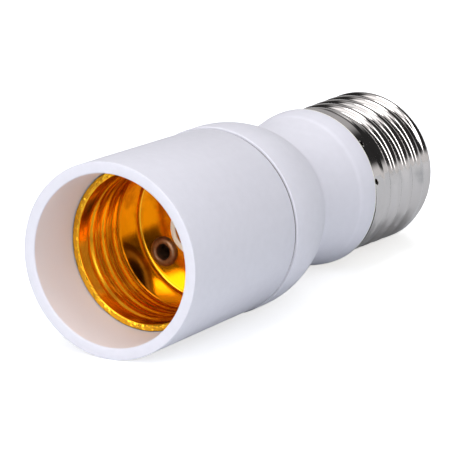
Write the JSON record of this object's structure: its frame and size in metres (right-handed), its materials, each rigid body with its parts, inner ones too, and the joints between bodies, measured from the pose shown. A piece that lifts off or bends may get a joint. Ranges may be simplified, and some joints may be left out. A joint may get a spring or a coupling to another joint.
{
  "type": "lamp socket adapter",
  "caption": "White lamp socket extension: a screw socket with a sprung centre contact in its mouth, and a matching screw cap on its flared neck.",
  "frame": {"origin": "on the axis, in the plane of the mouth's rim, on which the part stands", "axes": "+Z along the axis from the mouth's rim to the cap's tip; +Y towards the side of the shell's rivet"},
  "size_m": [0.0346, 0.0346, 0.09],
  "materials": {
    "white_plastic": "moulded, satin",
    "gold_shell": "gold anodised, drawn and thread-rolled",
    "rivet_brown": "dark brown, oxidised",
    "nickel_cap": "nickel plated, thread-rolled",
    "contact_brass": "plain turned brass",
    "spring_steel": "drawn wire",
    "black_insulator": "black glass-like insulator",
    "live_insulation": "brown wire insulation",
    "neutral_insulation": "blue wire insulation"
  },
  "bodies": {
    "housing": {"front_sleeve": "white_plastic", "rear_body": "white_plastic", "socket_shell": "gold_shell", "shell_rivet": "rivet_brown", "contact_spring": "spring_steel", "contact_eyelet": "contact_brass", "live_tag": "contact_brass", "shell_tag": "contact_brass", "live_wire": "live_insulation", "neutral_wire": "neutral_insulation", "cap_shell": "nickel_cap", "cap_insulator": "black_insulator", "tip_contact": "contact_brass"},
    "contact": {"contact_plunger": "contact_brass"}
  },
  "joints": [
    {"name": "contact_press", "type": "slide", "parent": "housing", "child": "contact", "axis": [0, 0, 1], "range_m": [0, 0.0012], "stiffness_N_per_m": 1500, "springref_m": -0.0008, "deforming": ["contact_spring"]}
  ]
}
